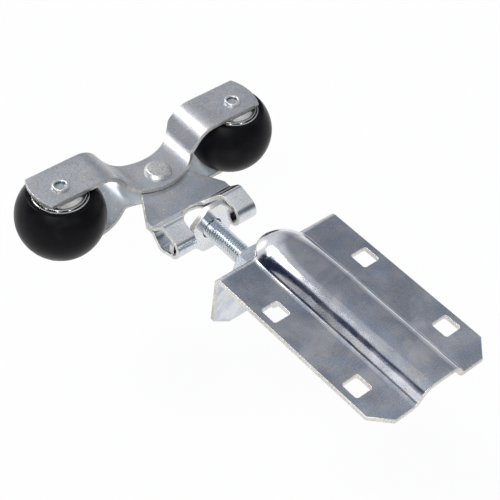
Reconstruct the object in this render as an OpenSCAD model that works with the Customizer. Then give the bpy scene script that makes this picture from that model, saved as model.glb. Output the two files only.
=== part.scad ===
// Top hanger of a sliding door: a two wheel carriage that runs in a tubular track,
// a folded hanger swinging on its pivot rivet, an adjusting bolt and a door plate.
// Millimetres. Origin at the centre of the four square holes, on the face that
// lies against the door. X across the plate, Y from the door towards the wheels,
// Z away from the door face.

/* [Door plate] */
// Width of the plate
plate_w = 70; // [64:1:84]
// Thickness of the plate's sheet
plate_t = 2.5; // [2:0.1:3]
// Distance between the square holes across the plate
hole_gap_x = 54; // [50:1:55]
// Distance between the square holes along the plate
hole_gap_y = 50; // [40:1:56]
// Side of a square hole
hole_size = 9; // [7:0.5:10]
// Radius in the corners of a square hole
hole_corner_r = 1.2; // [0.5:0.1:2]
// From the door end of the plate to the nearer row of holes
hole_end = 22; // [16:1:30]
// From the further row of holes to the outer face of the hook
hole_hook = 31; // [26:1:40]
// Chamfer of the two corners at the door end
end_chamfer = 8.5; // [4:0.5:12]
// Inner radius of the bend between plate and hook
bend_r = 1.5; // [1:0.25:3]
// Depth of the hook, from the top of the plate
hook_depth = 35; // [34:1:45]
// Width of the chamfer at the hook's lower corners
hook_chamfer_w = 10; // [6:0.5:13]
// Height of the chamfer at the hook's lower corners
hook_chamfer_h = 7; // [4:0.5:10]

/* [Stiffening rib] */
// Width of the rib at its foot, between the middles of the sheet
rib_foot_w = 24.6; // [23:0.2:26]
// Width of the rib at its top, between the middles of the sheet
rib_top_w = 19.8; // [17:0.2:21]
// Height of the rib above the plate
rib_h = 7.5; // [7:0.25:9]
// Radius of the rib's bends, at the middle of the sheet
rib_bend_r = 3; // [2:0.25:3.25]
// From the hook's outer face back to the centre of the rib's round nose
nose_back = 8.75; // [7:0.25:10]
// How far down the hook the nose fades out, from the top of the plate
nose_fade = 11; // [9:0.5:11.5]
// Radius of the nose's belly over the bend, at the middle of the sheet
nose_belly_r = 7; // [4:0.5:8]

/* [Bolt and nuts] */
// Distance of the bolt's axis from the door face, half the door's thickness
bolt_depth = 22; // [20:0.5:23]
// Outer diameter of the bolt's thread
bolt_d = 10; // [8:0.5:11]
// Length of the bolt under its head
bolt_len = 60; // [58:1:70]
// Diameter of the bolt's low round head
head_d = 16; // [14:0.5:17]
// Height of the bolt's head
head_h = 3; // [2:0.1:4]
// Size of a nut across its flats
hex_af = 17; // [15:0.5:18]
// Height of a nut
nut_h = 8; // [6:0.2:9]
// Free length of the bolt, from the hook to the middle of the cross plate
bolt_free = 42; // [38:0.5:50]
// Distance of the lock nut from the hook
lock_nut_gap = 7.3; // [5.5:0.1:12]
// Turn of the lock nut on the bolt, in degrees
lock_nut_turn = -9.4; // [-30:0.2:30]
// Radial clearance of the bolt in its nuts
thread_play = 0.05; // [0.02:0.01:0.1]
// Radial clearance of the bolt in the hook and the cross plate
bolt_hole_play = 0.5; // [0.3:0.1:0.8]

/* [Cross plate] */
// Thickness of the cross plate
cross_t = 3; // [2.5:0.25:4]
// Height of the cross plate at its middle
cross_h = 28; // [24:0.5:29]
// Width of the cross plate's flat top
cross_top_w = 8; // [5:0.5:10]
// Height of the straight sides between the two shoulders
cross_side_h = 12; // [9:0.5:14]
// Height of the tongues
tongue_h = 7.1; // [5:0.1:7.5]
// How far a tongue stays inside the end of its loop
tongue_inset = 0.5; // [0:0.1:2]
// Clearance of the tongues in the loops
tongue_play = 0.15; // [0.1:0.01:0.3]
// How much the loops are eased where the tongues turn
loop_skim = 0.03; // [0.02:0.01:0.1]
// Clearance of the cross plate's middle in the cut-out
cross_play = 1.2; // [0.4:0.1:1.5]

/* [Hanger] */
// Thickness of the hanger's sheet
leaf_t = 2; // [1.5:0.1:2.2]
// Gap between the two leaves
leaf_gap = 0.3; // [0.1:0.1:0.6]
// Width of the hanger across its loops
hanger_w = 48.6; // [46:0.2:52]
// From the pivot to the middle of the loops
hanger_len = 40.5; // [39.5:0.5:45]
// Radius of the hanger's round end, at the pivot
hanger_end_r = 9.5; // [8:0.25:10.5]
// From the pivot to the corners where the slanted edges end
shoulder_y = 22.2; // [20:0.2:25]
// From the middle of the loops back to the crease where a leaf steps outwards
crease_back = 13.5; // [12.5:0.25:14.5]
// From the middle of the loops back to the crest of a leaf
crest_back = 7.2; // [6.8:0.1:8]
// Slope of a leaf from its crest to the front of the loop, in degrees
leaf_slope = 17; // [10:1:20]
// Radius of the cut-out between the loops
cutout_r = 13; // [11.5:0.25:13.5]
// From the middle of the loops back to the centre of the cut-out
cutout_back = 2; // [0:0.25:3]

/* [Straps] */
// Thickness of the straps
strap_t = 2.5; // [2:0.1:3]
// Width of a strap
strap_w = 22; // [20:0.5:24]
// How far a strap's end reaches beyond its axle
strap_end = 13.3; // [11:0.1:16]
// Radius of a strap's rounded ends
strap_end_r = 23; // [18:0.5:40]
// From the pivot to the middle line of the raised arms
arm_offset = 9.7; // [8.5:0.1:11]
// Width of the strap's middle between the corners of its two bends
trough_w = 36.4; // [34:0.4:40]
// Slope of the strap between the middle and an arm, in degrees
strap_slope = 55; // [45:1:65]
// Radius of the strap's bends, at the middle of the sheet
strap_bend_r = 8; // [5:0.5:9]
// Radius of the strap's hollow edge, away from the door
hollow_r = 30; // [26:1:40]
// Radius of the strap's round edge, towards the door
lobe_r = 27; // [22:1:32]
// How far the strap's round edge reaches beyond the pivot
lobe_reach = 9.8; // [8.5:0.1:11]
// Gap between a strap and the hanger
pivot_gap = 0.15; // [0.05:0.05:0.3]

/* [Rivets] */
// Diameter of the pivot rivet
pivot_d = 8; // [6:0.5:9]
// Diameter of the pivot rivet's heads
pivot_head_d = 13.5; // [12:0.5:15]
// Height of the pivot rivet's heads
pivot_head_h = 2.2; // [1.5:0.1:3]
// Diameter of an axle rivet
axle_d = 7; // [6:0.25:7.5]
// Diameter of an axle rivet's rolled rim
axle_rim_d = 8.2; // [7.8:0.1:9]
// Height of an axle rivet's rolled rim
axle_rim_h = 1.5; // [1:0.1:2]
// Diameter of the hollow in an axle rivet's ends
axle_hollow_d = 5.2; // [4:0.1:5.4]
// Depth of the hollow in an axle rivet's ends
axle_hollow = 6; // [3:0.5:10]
// Radial clearance of the rivets in their holes
rivet_play = 0.05; // [0.02:0.01:0.1]

/* [Wheels] */
// Distance between the two axles
wheelbase = 105.4; // [102:0.2:110]
// From the pivot to the line of the axles
axle_offset = 7.2; // [6:0.1:9]
// Diameter of a ball wheel
wheel_d = 44; // [42:0.5:46]
// Width of a ball wheel across its flats
wheel_w = 30; // [28:0.5:32]
// How far the bearing cones stand out from the wheel's flats
cone_proud = 1; // [0.6:0.1:1.5]
// Outer diameter of a bearing cup
cup_d = 28; // [27:0.2:29]
// Wall of a bearing cup
cup_t = 1.3; // [1:0.1:1.5]
// How far a cup's rim lies below the wheel's flat
cup_sunk = 0.35; // [0:0.05:0.6]
// Diameter of the circle on which the bearing balls run
race_d = 20; // [19.5:0.1:20.5]
// Diameter of a bearing ball
ball_d = 5; // [4:0.1:5.2]
// Number of bearing balls in a row
ball_count = 11; // [7:1:11]
// Clearance of the bearing balls in their races
ball_play = 0.1; // [0.05:0.01:0.15]
// Outer diameter of a cone's dish
dish_d = 23.8; // [22:0.2:24.4]
// Outer diameter of the spacer sleeve between the cones
spacer_d = 11; // [10:0.5:13]
// Clearance round the spacer inside the wheel
spacer_play = 2.5; // [1:0.5:3]

/* [Hidden] */
$fn = 72;

// Segments in a bend's arc and in the hanger's round end, and the overlap of cutting tools
bend_steps = 10;
end_steps = 24;
cut = 1;

// Places along the part
door_y = -hole_gap_y / 2 - hole_end;
hook_y = hole_gap_y / 2 + hole_hook;
bolt_z = -bolt_depth;
loops_y = hook_y + bolt_free;
pivot_y = loops_y + hanger_len;
axle_x = wheelbase / 2;
axle_y = pivot_y + axle_offset;

// Rib
rib_mid_z = plate_t / 2 + rib_h;
rib_lean = (rib_foot_w - rib_top_w) / 2 / rib_h;
nose_y = hook_y - nose_back;
nose_low = plate_t - nose_fade;

// Bolt and nuts
head_y = loops_y + cross_t / 2;
bolt_hole_r = bolt_d / 2 + bolt_hole_play;
hex_r = hex_af / 2 / cos(30);

// Hanger
leaf_z = leaf_gap / 2 + leaf_t;
loop_r = norm([cross_t, tongue_h]) / 2 + tongue_play;
loop_mid_r = loop_r - loop_skim + leaf_t / 2;
crease_y = hanger_len - crease_back;
crest_y = hanger_len - crest_back;
leaf_bend_r = leaf_t * 1.3;
// Point where the sloping leaf runs into the round front of its loop, and the crest above it
loop_touch = [-hanger_len - loop_mid_r * sin(leaf_slope), loop_mid_r * cos(leaf_slope)];
crest_z = loop_touch[1] + (-crest_y - loop_touch[0]) * tan(leaf_slope);

// Straps
strap_reach = axle_x + strap_end;
trough_z = leaf_z + pivot_gap + strap_t / 2;
arm_z = wheel_w / 2 + cone_proud + strap_t / 2;
arm_top = arm_z + strap_t / 2;
arm_x = trough_w / 2 + (arm_z - trough_z) / tan(strap_slope);

// Wheels
cup_top = wheel_w / 2 - cup_sunk;
race_r = ball_d / 2 + ball_play;
race_z = arm_z - strap_t / 2 - cone_proud - ball_d / 2 - cup_t / 2;
cup_low = race_z - race_r - cup_t;
cone_low = cup_low - cup_t;
cone_top = wheel_w / 2 + cone_proud;
cone_hub_r = race_d / 2 - race_r;
axle_bore_r = axle_d / 2 + rivet_play;

// Bent sheet helpers: a path of points with its corners rounded, and the sheet along it
function unit(v) = v / norm(v);
function left_of(v) = [-v[1], v[0]];
function reversed(list) = [for (i = [len(list) - 1 : -1 : 0]) list[i]];
function mirrored(list) = [for (p = list) [-p[0], p[1]]];
function round_corner(a, b, c, r) =
    let (u = unit(a - b), w = unit(c - b), half = acos(u * w) / 2, sweep = 180 - 2 * half)
    let (centre = b + unit(u + w) * r / sin(half))
    let (first = b + u * r / tan(half) - centre, last = b + w * r / tan(half) - centre)
    [for (k = [0 : bend_steps])
        let (a = sweep * k / bend_steps)
        centre + (first * sin(sweep - a) + last * sin(a)) / sin(sweep)];
function rounded_path(points, r) = concat(
    [points[0]],
    [for (i = [1 : len(points) - 2]) each round_corner(points[i - 1], points[i], points[i + 1], r)],
    [points[len(points) - 1]]);
function beside(path, shift) =
    [for (i = [0 : len(path) - 1])
        path[i] + left_of(unit(path[min(i + 1, len(path) - 1)] - path[max(i - 1, 0)])) * shift];
module sheet(path, t) {
    polygon(concat(beside(path, t / 2), reversed(beside(path, -t / 2))));
}

// Extrusions that stand a flat shape in the XZ or the YZ plane
module across_y(from, to) {
    translate([0, to, 0]) rotate([90, 0, 0]) linear_extrude(to - from) children();
}
module across_x(width) {
    rotate([90, 0, 90]) linear_extrude(width, center = true) children();
}
// Turns a piece made along Z so that it points along Y
module along_y() {
    rotate([-90, 0, 0]) children();
}

// Door plate: the flat flanges and the rib pressed between them, one strip of sheet across
module ribbed_plate() {
    half = [[rib_top_w / 2, rib_mid_z], [rib_foot_w / 2, plate_t / 2], [plate_w / 2, plate_t / 2]];
    path = rounded_path(concat(reversed(mirrored(half)), half), rib_bend_r);
    across_y(door_y, nose_y + cut) sheet(path, plate_t);
}

// The plate's last stretch and the hook bent down from it
module hook() {
    difference() {
        across_x(plate_w) sheet(rounded_path([
            [nose_y, plate_t / 2],
            [hook_y - plate_t / 2, plate_t / 2],
            [hook_y - plate_t / 2, plate_t - hook_depth]
        ], bend_r + plate_t / 2), plate_t);
        for (side = [-1, 1]) {
            across_y(hook_y - plate_t - cut, hook_y + cut) polygon([
                [side * plate_w / 2, plate_t - hook_depth + hook_chamfer_h],
                [side * (plate_w / 2 + cut), plate_t - hook_depth + hook_chamfer_h],
                [side * (plate_w / 2 + cut), plate_t - hook_depth - cut],
                [side * (plate_w / 2 - hook_chamfer_w), plate_t - hook_depth - cut],
                [side * (plate_w / 2 - hook_chamfer_w), plate_t - hook_depth]
            ]);
        }
    }
}

// Round nose of the rib: its half section runs from the top over the belly down to the hook.
// side 1 gives its outside, -1 the hollow inside the sheet.
function rib_wall_x(z, side) =
    rib_foot_w / 2 - (z - plate_t / 2) * rib_lean + side * plate_t / 2 * norm([1, rib_lean]);
module nose(side) {
    half = side * plate_t / 2;
    summit = [0, rib_mid_z + half];
    shoulder = [rib_wall_x(summit[1], side), summit[1]];
    belly = [rib_wall_x(plate_t, side), plate_t];
    fade = [nose_back - plate_t / 2 + half, nose_low];
    translate([0, nose_y, 0]) rotate_extrude() polygon(concat(
        [[0, nose_low], summit],
        round_corner(summit, shoulder, belly, rib_bend_r + half),
        round_corner(shoulder, belly, fade, nose_belly_r + half),
        [fade]));
}

// Square hole for a bolt's square neck, with eased corners
module square_hole() {
    h = hole_size / 2;
    polygon(rounded_path([[0, h], [h, h], [h, -h], [-h, -h], [-h, h], [0, h]], hole_corner_r));
}

module door_plate() {
    color("lightsteelblue") difference() {
        union() {
            ribbed_plate();
            hook();
            difference() {
                nose(1);
                translate([-rib_foot_w, nose_y - rib_foot_w, nose_low - cut])
                    cube([2 * rib_foot_w, rib_foot_w, rib_mid_z + plate_t - nose_low + cut]);
                translate([-rib_foot_w, nose_y - cut, nose_low - cut])
                    cube([2 * rib_foot_w, nose_back - plate_t + cut, cut - nose_low]);
            }
        }
        nose(-1);
        for (side = [-1, 1]) {
            translate([side * plate_w / 2, door_y, plate_t / 2]) rotate([0, 0, 45])
                cube([end_chamfer * sqrt(2), end_chamfer * sqrt(2), plate_t + 2 * cut], center = true);
        }
        for (x = [-1, 1], y = [-1, 1]) {
            translate([x * hole_gap_x / 2, y * hole_gap_y / 2, -cut])
                linear_extrude(plate_t + 2 * cut) square_hole();
        }
        translate([0, hook_y - plate_t - cut, bolt_z]) along_y()
            cylinder(r = bolt_hole_r, h = plate_t + 2 * cut);
    }
}

// Nut: a hexagon with its corners turned off at both ends
module nut() {
    drop = (hex_r - hex_af / 2) * tan(30);
    bore_r = bolt_d / 2 + thread_play;
    intersection() {
        cylinder(r = hex_r, h = nut_h, $fn = 6);
        rotate_extrude() polygon([
            [bore_r, 0],
            [hex_af / 2, 0],
            [hex_r, drop],
            [hex_r, nut_h - drop],
            [hex_af / 2, nut_h],
            [bore_r, nut_h]
        ]);
    }
}

module load_nut() {
    color("gainsboro") translate([0, hook_y - plate_t - nut_h, bolt_z]) along_y() nut();
}

module lock_nut() {
    color("gainsboro") translate([0, hook_y + lock_nut_gap, bolt_z]) along_y()
        rotate([0, 0, lock_nut_turn]) nut();
}

// Bolt: full thread under a low round head with a broken edge
module hanger_bolt() {
    tip = bolt_d / 10;
    edge = head_h / 3;
    color("silver") translate([0, head_y, bolt_z]) along_y() rotate_extrude() polygon([
        [0, -bolt_len],
        [bolt_d / 2 - tip, -bolt_len],
        [bolt_d / 2, tip - bolt_len],
        [bolt_d / 2, 0],
        [head_d / 2, 0],
        [head_d / 2, head_h - edge],
        [head_d / 2 - edge, head_h],
        [0, head_h]
    ]);
}

// Cross plate: a loose plate with two shouldered sides and two tongues
module cross_plate() {
    half_w = cutout_r - cross_play;
    color("lightgray") difference() {
        across_y(loops_y - cross_t / 2, loops_y + cross_t / 2) translate([0, bolt_z]) union() {
            polygon(concat(
                [[half_w, -cross_side_h / 2], [half_w, cross_side_h / 2]],
                [[cross_top_w / 2, cross_h / 2], [-cross_top_w / 2, cross_h / 2]],
                [[-half_w, cross_side_h / 2], [-half_w, -cross_side_h / 2]],
                [[-cross_top_w / 2, -cross_h / 2], [cross_top_w / 2, -cross_h / 2]]));
            square([hanger_w - 2 * tongue_inset, tongue_h], center = true);
        }
        translate([0, loops_y - cross_t, bolt_z]) along_y() cylinder(r = bolt_hole_r, h = 2 * cross_t);
    }
}

// Hanger: half of the folded sheet's side view, from the pivot to the front of the loop
function leaf_path() = concat(
    rounded_path([
        [hanger_end_r, leaf_z - leaf_t / 2],
        [-crease_y, leaf_z - leaf_t / 2],
        [-crest_y, crest_z],
        loop_touch
    ], leaf_bend_r),
    [for (k = [1 : bend_steps])
        let (a = leaf_slope + (90 - leaf_slope) * k / bend_steps)
        [-hanger_len - loop_mid_r * sin(a), loop_mid_r * cos(a)]]);
function folded_path() =
    let (upper = leaf_path())
    concat(upper, [for (i = [len(upper) - 2 : -1 : 0]) [upper[i][0], -upper[i][1]]]);

// Outline of the hanger from above: round at the pivot, slanted edges, straight sides at the loops
module hanger_outline() {
    corner = [hanger_w / 2, -shoulder_y];
    touch = atan2(corner[1], corner[0]) + acos(hanger_end_r / norm(corner));
    front = [hanger_w / 2, -hanger_len - 2 * loop_mid_r];
    polygon(concat(
        [front, corner],
        [for (k = [0 : end_steps])
            let (a = touch + (180 - 2 * touch) * k / end_steps)
            hanger_end_r * [cos(a), sin(a)]],
        mirrored([corner, front])));
}

module hanger() {
    room = 2 * (crest_z + leaf_t);
    color("silver") translate([0, pivot_y, bolt_z]) difference() {
        intersection() {
            across_x(hanger_w) sheet(folded_path(), leaf_t);
            linear_extrude(room, center = true) hanger_outline();
        }
        translate([0, -hanger_len + cutout_back, 0]) {
            cylinder(r = cutout_r, h = room, center = true);
            translate([0, -hanger_len / 2, 0]) cube([2 * cutout_r, hanger_len, room], center = true);
        }
        cylinder(r = pivot_d / 2 + rivet_play, h = room, center = true);
        translate([0, -hanger_len, 0]) rotate([0, 90, 0])
            cylinder(r = loop_r, h = hanger_w + 2 * cut, center = true);
    }
}

// Straps: outline from above, with the hollow edge, the round edge at the pivot and the rounded ends
module strap_outline() {
    end_x = strap_reach - strap_end_r;
    difference() {
        union() {
            for (side = [-1, 1]) {
                intersection() {
                    translate([side * end_x, arm_offset]) circle(strap_end_r);
                    translate([side * strap_reach, arm_offset])
                        square([2 * strap_end_r, strap_w], center = true);
                }
            }
            translate([0, arm_offset]) square([2 * end_x, strap_w], center = true);
            intersection() {
                translate([0, lobe_r - lobe_reach]) circle(lobe_r);
                translate([0, arm_offset - strap_w / 2]) square([2 * lobe_r, strap_w], center = true);
            }
        }
        translate([0, strap_w / 2 + hollow_r]) circle(hollow_r);
    }
}

module strap() {
    half = [[arm_x, arm_z], [trough_w / 2, trough_z]];
    path = concat([[strap_reach, arm_z]], half, reversed(mirrored(half)), [[-strap_reach, arm_z]]);
    difference() {
        intersection() {
            across_y(-strap_reach, strap_reach) sheet(rounded_path(path, strap_bend_r), strap_t);
            linear_extrude(arm_top + cut) strap_outline();
        }
        cylinder(r = pivot_d / 2 + rivet_play, h = arm_top);
        for (side = [-1, 1]) {
            translate([side * axle_x, axle_offset, 0]) cylinder(r = axle_bore_r, h = arm_top + cut);
        }
    }
}

module upper_strap() {
    color("silver") translate([0, pivot_y, bolt_z]) strap();
}

module lower_strap() {
    color("silver") translate([0, pivot_y, bolt_z]) mirror([0, 0, 1]) strap();
}

// Rivets
module pivot_rivet() {
    seat = trough_z + strap_t / 2;
    edge = pivot_head_h / 3;
    color("gainsboro") translate([0, pivot_y, bolt_z]) rotate_extrude() polygon([
        [0, -seat - pivot_head_h],
        [pivot_head_d / 2 - edge, -seat - pivot_head_h],
        [pivot_head_d / 2, -seat - pivot_head_h + edge],
        [pivot_head_d / 2, -seat],
        [pivot_d / 2, -seat],
        [pivot_d / 2, seat],
        [pivot_head_d / 2, seat],
        [pivot_head_d / 2, seat + pivot_head_h - edge],
        [pivot_head_d / 2 - edge, seat + pivot_head_h],
        [0, seat + pivot_head_h]
    ]);
}

// Moves a piece from the pivot's middle to the left or the right axle
module at_axle(side) {
    translate([side * axle_x, axle_y, bolt_z]) children();
}

module axle(side) {
    half = [
        [axle_d / 2, arm_top],
        [axle_rim_d / 2, arm_top],
        [axle_rim_d / 2, arm_top + axle_rim_h / 2],
        [(axle_rim_d + axle_hollow_d) / 4, arm_top + axle_rim_h],
        [axle_hollow_d / 2, arm_top + axle_rim_h / 2],
        [axle_hollow_d / 2, arm_top - axle_hollow],
        [0, arm_top - axle_hollow - axle_hollow_d / 4]
    ];
    color("gainsboro") at_axle(side) rotate_extrude() polygon(concat(
        half,
        reversed([for (p = half) [p[0], -p[1]]])));
}

module left_axle() {
    axle(-1);
}

module right_axle() {
    axle(1);
}

// Wheels
module spacer(side) {
    color("darkgray") at_axle(side) difference() {
        cylinder(d = spacer_d, h = 2 * cone_low, center = true);
        cylinder(r = axle_bore_r, h = 2 * cone_low + cut, center = true);
    }
}

module left_spacer() {
    spacer(-1);
}

module right_spacer() {
    spacer(1);
}

// Ball wheel: a sphere cut flat on both sides, with a seat for a cup in each
module ball(side) {
    seat_r = cup_d / 2 + rivet_play;
    color([0.05, 0.05, 0.06]) at_axle(side) difference() {
        intersection() {
            sphere(d = wheel_d);
            cylinder(d = wheel_d, h = wheel_w, center = true);
        }
        for (end = [0, 1]) {
            mirror([0, 0, end]) translate([0, 0, cup_low]) cylinder(r = seat_r, h = wheel_w);
        }
        cylinder(r = spacer_d / 2 + spacer_play, h = wheel_w, center = true);
    }
}

module left_ball() {
    ball(-1);
}

module right_ball() {
    ball(1);
}

// Quarter of a race's section, centred on the ball
function race_arc(from) =
    [for (k = [0 : bend_steps])
        let (a = from + 90 * k / bend_steps)
        [race_d / 2 + race_r * cos(a), race_z + race_r * sin(a)]];

// Pressed bearing cup with its race in the corner
module cup(side, end) {
    inner_r = cup_d / 2 - cup_t;
    color("gainsboro") at_axle(side) mirror([0, 0, end]) rotate_extrude() polygon(concat(
        [[cone_hub_r + cup_t, cup_low], [cup_d / 2, cup_low], [cup_d / 2, cup_top], [inner_r, cup_top]],
        [[inner_r, race_z]],
        reversed(race_arc(270)),
        [[cone_hub_r + cup_t, race_z - race_r]]));
}

// Bearing cone with its race under a dished rim
module cone(side, end) {
    rim_low = race_z + race_r;
    color("silver") at_axle(side) mirror([0, 0, end]) rotate_extrude() polygon(concat(
        [[axle_bore_r, cone_low], [cone_hub_r, cone_low]],
        [[cone_hub_r, race_z]],
        reversed(race_arc(90)),
        [[dish_d / 2, rim_low], [dish_d / 2, rim_low + cup_t / 2]],
        [[axle_d, cone_top], [axle_bore_r, cone_top]]));
}

module balls(side, end) {
    color("white") at_axle(side) mirror([0, 0, end]) {
        for (k = [0 : ball_count - 1]) {
            rotate([0, 0, 360 * k / ball_count]) translate([race_d / 2, 0, race_z]) sphere(d = ball_d);
        }
    }
}

module left_upper_cup() {
    cup(-1, 0);
}

module left_lower_cup() {
    cup(-1, 1);
}

module right_upper_cup() {
    cup(1, 0);
}

module right_lower_cup() {
    cup(1, 1);
}

module left_upper_cone() {
    cone(-1, 0);
}

module left_lower_cone() {
    cone(-1, 1);
}

module right_upper_cone() {
    cone(1, 0);
}

module right_lower_cone() {
    cone(1, 1);
}

module left_upper_balls() {
    balls(-1, 0);
}

module left_lower_balls() {
    balls(-1, 1);
}

module right_upper_balls() {
    balls(1, 0);
}

module right_lower_balls() {
    balls(1, 1);
}

door_plate();
load_nut();
lock_nut();
hanger_bolt();
cross_plate();
hanger();
upper_strap();
lower_strap();
pivot_rivet();
left_axle();
right_axle();
left_spacer();
right_spacer();
left_ball();
right_ball();
left_upper_cup();
left_lower_cup();
right_upper_cup();
right_lower_cup();
left_upper_cone();
left_lower_cone();
right_upper_cone();
right_lower_cone();
left_upper_balls();
left_lower_balls();
right_upper_balls();
right_lower_balls();
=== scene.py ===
import math
import bmesh
import bpy
from mathutils import Matrix, Vector


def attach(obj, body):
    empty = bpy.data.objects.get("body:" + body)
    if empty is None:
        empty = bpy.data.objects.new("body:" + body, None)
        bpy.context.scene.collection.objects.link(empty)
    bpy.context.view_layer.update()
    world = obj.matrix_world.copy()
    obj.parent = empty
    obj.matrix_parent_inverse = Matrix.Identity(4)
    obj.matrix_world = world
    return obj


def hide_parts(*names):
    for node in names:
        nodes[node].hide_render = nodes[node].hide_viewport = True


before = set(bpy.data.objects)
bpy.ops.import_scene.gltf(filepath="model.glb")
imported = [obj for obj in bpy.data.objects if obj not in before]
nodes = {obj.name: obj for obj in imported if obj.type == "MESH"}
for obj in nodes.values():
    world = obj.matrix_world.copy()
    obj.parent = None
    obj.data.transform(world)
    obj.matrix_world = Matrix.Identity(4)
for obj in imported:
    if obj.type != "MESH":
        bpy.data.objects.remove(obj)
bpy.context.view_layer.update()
MM = 0.001

# Sliding door roller: a hooked door plate, a bolt with its nuts, a folded hanger on a cross plate, and a
# carriage of two straps with two ball wheels. Sizes in millimetres and angles in degrees, in the part's frame.

# Door plate: a sheet that is bent down into a hook at the roller's end
PLATE_W = 70.0
PLATE_T = 2.5
DOOR_Y = -47.0
END_CHAMFER = 8.5
HOLE_X = 27.0
HOLE_Y = 25.0
HOLE_SIZE = 9.0
HOLE_CORNER_R = 1.2
HOOK_Y = 56.0
HOOK_LOW = -32.5
HOOK_BEND_R = 4.0
HOOK_CHAMFER_W = 10.0
HOOK_CHAMFER_H = 7.0
BOLT_HOLE_R = 5.5
EDGE_R = 0.35

# Its rib: walls that lean out by RIB_LEAN for each millimetre down, and a nose that fades out on the hook
RIB_TOP_W = 19.2
RIB_H = 7.5
RIB_LEAN = 0.66
RIB_TOP = PLATE_T + RIB_H
RIB_FOOT_X = RIB_TOP_W / 2 + RIB_H * RIB_LEAN
NOSE_BACK = 7.65
NOSE_FADE = 11.0
NOSE_Y = HOOK_Y - NOSE_BACK
BELLY_LEAN = (RIB_FOOT_X - NOSE_BACK) / NOSE_FADE

# The rounding of the rib: its arched top, and the widths over which its faces flow into each other
CROWN = 0.003
CREST_SOFT = 3.4
NOSE_SOFT = 7.8
NOSE_EASE = 6
BELLY_SOFT = 2.0
FOOT_SOFT = 1.8

# Bolt and nuts; the thread's root and flank are shares of half a pitch, a nut's round face is one of its width
BOLT_Z = -22.0
BOLT_R = 5.0
BOLT_LEN = 60.0
BOLT_TIP = 1.0
PITCH = 1.5
THREAD_DEPTH = 0.86
THREAD_ROOT = 0.16
THREAD_FLANK = 0.66
HEAD_R = 8.0
HEAD_H = 3.0
HEAD_EDGE_R = 0.8
HEX_AF = 17.0
NUT_H = 8.0
NUT_FACE = 0.965
NUT_CHAMFER = 28.0
NUT_BORE_GAP = 0.3
NUT_LIP = 0.55
LOCK_NUT_GAP = 7.3
LOCK_NUT_TURN = -9.4

# Cross plate, with its tongues in the hanger's loops
LOOPS_Y = 98.0
CROSS_T = 3.0
CROSS_H = 28.0
CROSS_TOP_W = 8.0
CROSS_SIDE_H = 12.0
CROSS_HALF_W = 11.8
TONGUE_H = 7.1
TONGUE_HALF_W = 23.8

# Hanger: SHOULDER_BACK runs from the pivot towards the loops, the other BACKs from the loops to the pivot
PIVOT_Y = 138.5
LEAF_T = 2.0
LEAF_GAP = 0.3
LEAF_EDGE_R = 0.3
LEAF_SLOPE = 17.0
LEAF_BEND_R = 2.6
HANGER_W = 48.6
HANGER_END_R = 9.5
HANGER_TIP_SQUARED = 0.5
SHOULDER_BACK = 22.2
CREASE_BACK = 13.5
CREST_BACK = 7.2
LOOP_R = 4.97
CUTOUT_R = 13.0
CUTOUT_BACK = 2.0

# Straps: arms over the wheels, a trough at the pivot, a lobe on one edge of it and a hollow in the other
STRAP_T = 2.5
STRAP_W = 22.0
STRAP_REACH = 66.0
STRAP_END_R = 23.0
STRAP_SLOPE = 55.0
STRAP_BEND_R = 13.0
ARM_OFFSET = 9.7
ARM_Z = 17.25
ARM_TOP = ARM_Z + STRAP_T / 2
TROUGH_W = 36.4
TROUGH_Z = 3.55
TROUGH_TOP = TROUGH_Z + STRAP_T / 2
HOLLOW_R = 30.0
LOBE_R = 27.0
LOBE_REACH = 9.8

# Axle rivets with hollow ends, and the pivot rivet
AXLE_X = 52.7
AXLE_Y = 145.7
AXLE_R = 3.5
AXLE_RIM_R = 4.1
AXLE_RIM_H = 1.5
AXLE_HOLLOW_R = 2.6
AXLE_HOLLOW = 3.0
PIVOT_R = 4.0
PIVOT_HEAD_R = 6.75
PIVOT_HEAD_H = 2.2
PIVOT_WALL_H = 0.7
PIVOT_EDGE_IN = 1.7
PIVOT_EDGE_R = 0.9
PIVOT_EDGE_FROM = 35.0

# Wheels and bearings
WHEEL_R = 22.0
WHEEL_HALF = 15.0
WHEEL_BALL_END = 42.0
WHEEL_EDGE_IN = 0.1
WHEEL_EDGE_DROP = 0.07
WHEEL_FACE_IN = 0.5
SEAT_CHAMFER = 0.2
FIT_GAP = 0.05
CUP_R = 14.0
CUP_T = 1.3
CUP_LOW = 7.95
CUP_TOP = 14.65
RACE_R = 10.0
GROOVE_R = 2.6
RACE_Z = 11.85
CONE_LOW = 6.65
CONE_TOP = 16.0
DISH_R = 12.45
DISH_RIM_R = 0.35
SPACER_ROOM_R = 8.0

# The cone's dish from its rim inwards, as radius and height over the race: a ring groove, a rise and the hub
DISH_GROOVE = [(11.7, 0.46), (11.2, 0.36), (10.7, 0.46)]
DISH_RISE = [(10.1, 0.80), (9.5, 1.16), (8.9, 1.42)]
HUB_TOP_R = 8.2

# Steps of the meshes
ARC_STEPS = 8
CORNER_STEPS = 5
CIRCLE_STEPS = 48
TURNED_STEPS = 96
AXLE_STEPS = 64
NUT_STEPS = 120
THREAD_STEPS = 56
ROWS_PER_PITCH = 12
SMOOTH_BELOW = 35.0
BOLT_SMOOTH_BELOW = 30.0


# Paths
def arc(cx, cy, r, start, end, steps=ARC_STEPS):
    """Points on an arc, angles in degrees from the first axis towards the second."""
    out = []
    for k in range(steps + 1):
        a = math.radians(start + (end - start) * k / steps)
        out.append((cx + r * math.cos(a), cy + r * math.sin(a)))
    return out


def circle(cx, cy, r):
    return arc(cx, cy, r, 0, 360, CIRCLE_STEPS)[:-1]


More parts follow.
